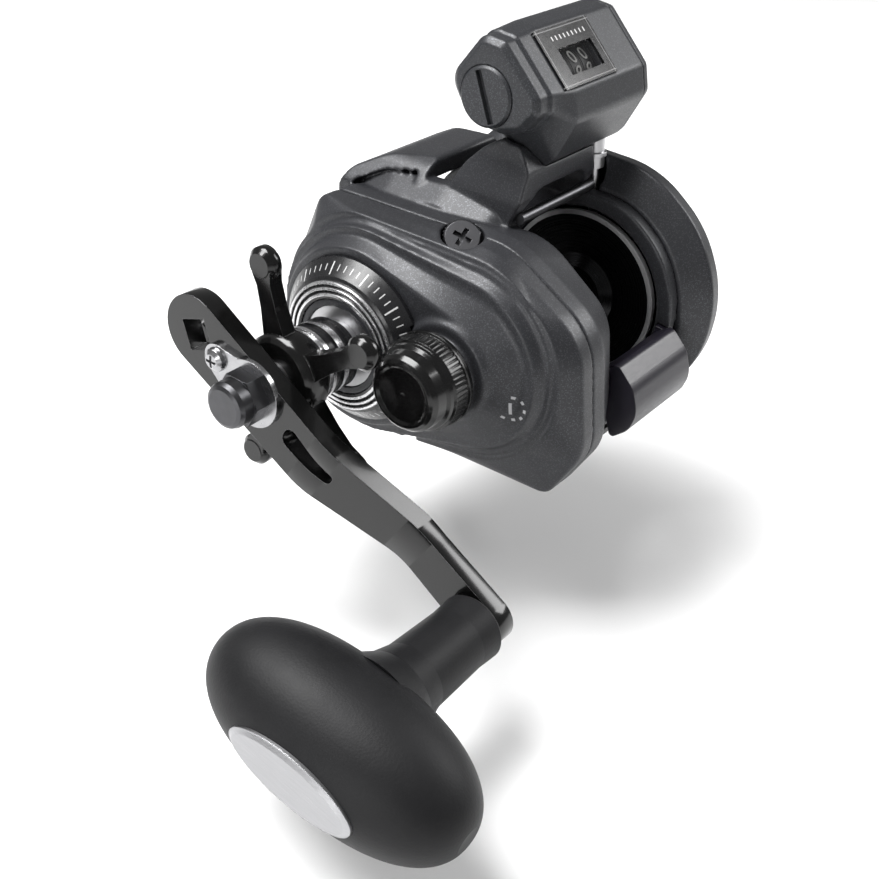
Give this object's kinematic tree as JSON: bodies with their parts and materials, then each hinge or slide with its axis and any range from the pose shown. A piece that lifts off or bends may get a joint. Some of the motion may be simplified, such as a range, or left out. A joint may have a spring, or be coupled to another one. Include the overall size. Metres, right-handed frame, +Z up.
{
  "type": "trolling reel",
  "caption": "Low-profile trolling reel with line counter, star drag, cranked arm and T-bar knob, level wind and thumb bar clutch.",
  "frame": {"origin": "middle of the reel foot's underside", "axes": "+X along the spool's axis towards the palm side, away from the crank; +Y forwards to the line guide; +Z up, away from the rod"},
  "size_m": [0.1514, 0.1127, 0.1175],
  "materials": {
    "graphite": "charcoal paint with fine metallic flake, satin",
    "black_gloss": "gloss black with bright chamfers",
    "black_satin": "satin black",
    "counter_shell": "satin charcoal plastic",
    "label": "printed black panel",
    "window": "clear",
    "wheel": "black with white figures",
    "steel": "machined",
    "bright": "polished",
    "dark_nickel": "dark nickel",
    "anodised": "black anodised with a machined rim",
    "alloy": "machined",
    "brass": "cut gear",
    "friction": "woven carbon friction washers",
    "rubber": "soft black rubber",
    "thumb": "dark violet grey",
    "bush": "white acetal",
    "ceramic": "hard polished ring"
  },
  "bodies": {
    "housing": {"frame": "graphite", "reel_foot": "black_satin", "foot_screws": "steel", "gear_side_cover": "graphite", "drive_boss_ring": "black_satin", "knurled_cover_screw": "dark_nickel", "cover_screws": "dark_nickel", "palm_side_cover": "graphite", "counter_post": "steel", "ball_bearings": "steel", "one_way_bearing": "steel", "guard_rod": "dark_nickel", "levelwind_tube": "alloy", "worm_bushes": "bush", "yoke_posts": "steel", "counter_housing": "counter_shell", "counter_axle": "steel", "counter_reduction": "bush", "counter_end_cap": "counter_shell", "counter_plug": "counter_shell", "counter_label": "label", "counter_window": "window"},
    "spool_body": {"spool": "anodised", "spool_shaft": "steel", "spool_cross_pin": "steel", "spool_bevel_gear": "brass"},
    "cap_body": {"cast_control_cap": "black_gloss"},
    "yoke_body": {"clutch_yoke": "bush", "yoke_springs": "steel"},
    "pinion_body": {"pinion": "brass"},
    "crank_body": {"drive_shaft": "steel", "main_gear": "brass", "drag_washers": "friction", "drag_pressure_plate": "steel", "spring_washers": "steel", "one_way_sleeve": "steel", "spacer_sleeve": "black_gloss", "clutch_ratchet": "steel", "levelwind_drive_gear": "bush", "crank_arm": "black_gloss", "lock_plate": "bright", "lock_plate_screw": "bright", "crank_nut": "dark_nickel", "knob_post": "steel"},
    "star_body": {"star_drag": "black_satin"},
    "knob_body": {"knob_grip": "rubber", "knob_badge": "bright", "knob_bushes": "bush"},
    "worm_body": {"worm_shaft": "steel", "worm_gear": "bush"},
    "carriage": {"line_guide": "black_satin", "line_guide_eye": "ceramic", "levelwind_pawl": "brass"},
    "lift_body": {"counter_lift_shaft": "steel"},
    "input_body": {"counter_input_gear": "brass"},
    "units_body": {"wheel_units": "wheel"},
    "tens_body": {"wheel_tens": "wheel"},
    "hundreds_body": {"wheel_hundreds": "wheel"},
    "button_body": {"counter_reset_button": "black_satin"},
    "thumb_body": {"thumb_bar": "thumb"}
  },
  "joints": [
    {"name": "crank_spin", "type": "hinge", "parent": "housing", "child": "crank_body", "pos_m": [-0.04, 0.01423, 0.02457], "axis": [1, 0, 0], "continuous": true},
    {"name": "spool_spin", "type": "hinge", "parent": "housing", "child": "spool_body", "pos_m": [0, -0.011, 0.0266], "axis": [1, 0, 0], "continuous": true},
    {"name": "yoke_slide", "type": "slide", "parent": "housing", "child": "yoke_body", "axis": [-1, 0, 0], "range_m": [0, 0.0019], "deforming": ["yoke_springs"]},
    {"name": "pinion_spin", "type": "hinge", "parent": "yoke_body", "child": "pinion_body", "pos_m": [0, -0.011, 0.0266], "axis": [1, 0, 0], "continuous": true},
    {"name": "worm_spin", "type": "hinge", "parent": "housing", "child": "worm_body", "pos_m": [0, 0.02551, 0.02867], "axis": [1, 0, 0], "continuous": true},
    {"name": "lift_shaft_spin", "type": "hinge", "parent": "housing", "child": "lift_body", "pos_m": [0.0179, -0.011, 0.0266], "axis": [0, 0.1096, 0.994], "continuous": true},
    {"name": "counter_input_spin", "type": "hinge", "parent": "housing", "child": "input_body", "pos_m": [0, -0.0052, 0.0792], "axis": [1, 0, 0], "continuous": true},
    {"name": "units_spin", "type": "hinge", "parent": "housing", "child": "units_body", "pos_m": [0, -0.0052, 0.0792], "axis": [1, 0, 0], "continuous": true},
    {"name": "tens_spin", "type": "hinge", "parent": "housing", "child": "tens_body", "pos_m": [0, -0.0052, 0.0792], "axis": [1, 0, 0], "continuous": true},
    {"name": "hundreds_spin", "type": "hinge", "parent": "housing", "child": "hundreds_body", "pos_m": [0, -0.0052, 0.0792], "axis": [1, 0, 0], "continuous": true},
    {"name": "cast_control_turn", "type": "hinge", "parent": "housing", "child": "cap_body", "pos_m": [0, -0.011, 0.0266], "axis": [1, 0, 0], "range_deg": [-270, 270]},
    {"name": "star_turn", "type": "hinge", "parent": "crank_body", "child": "star_body", "pos_m": [-0.04, 0.01423, 0.02457], "axis": [1, 0, 0], "range_deg": [-270, 270]},
    {"name": "knob_spin", "type": "hinge", "parent": "crank_body", "child": "knob_body", "pos_m": [-0.09, -0.04076, -0.01046], "axis": [1, 0, 0], "continuous": true},
    {"name": "thumb_slide", "type": "slide", "parent": "housing", "child": "thumb_body", "axis": [0, 0.1736, -0.9848], "range_m": [0, 0.0045]},
    {"name": "line_guide_slide", "type": "slide", "parent": "housing", "child": "carriage", "axis": [1, 0, 0], "range_m": [-0.007, 0.007]},
    {"name": "reset_press", "type": "slide", "parent": "housing", "child": "button_body", "axis": [-1, 0, 0], "range_m": [0, 0.0012], "stiffness_N_per_m": 150, "springref_m": -0.0005}
  ],
  "couplings": [
    {"joint": "spool_spin", "follows": "crank_spin", "ratio": -5.3846},
    {"joint": "pinion_spin", "follows": "crank_spin", "ratio": -5.3846},
    {"joint": "worm_spin", "follows": "crank_spin", "ratio": -1.6667},
    {"joint": "lift_shaft_spin", "follows": "crank_spin", "ratio": -5.3846},
    {"joint": "counter_input_spin", "follows": "crank_spin", "ratio": 5.3846},
    {"joint": "units_spin", "follows": "crank_spin", "ratio": 0.15},
    {"joint": "tens_spin", "follows": "crank_spin", "ratio": 0.015},
    {"joint": "hundreds_spin", "follows": "crank_spin", "ratio": 0.0015},
    {"joint": "yoke_slide", "follows": "thumb_slide", "ratio": 0.42222}
  ]
}
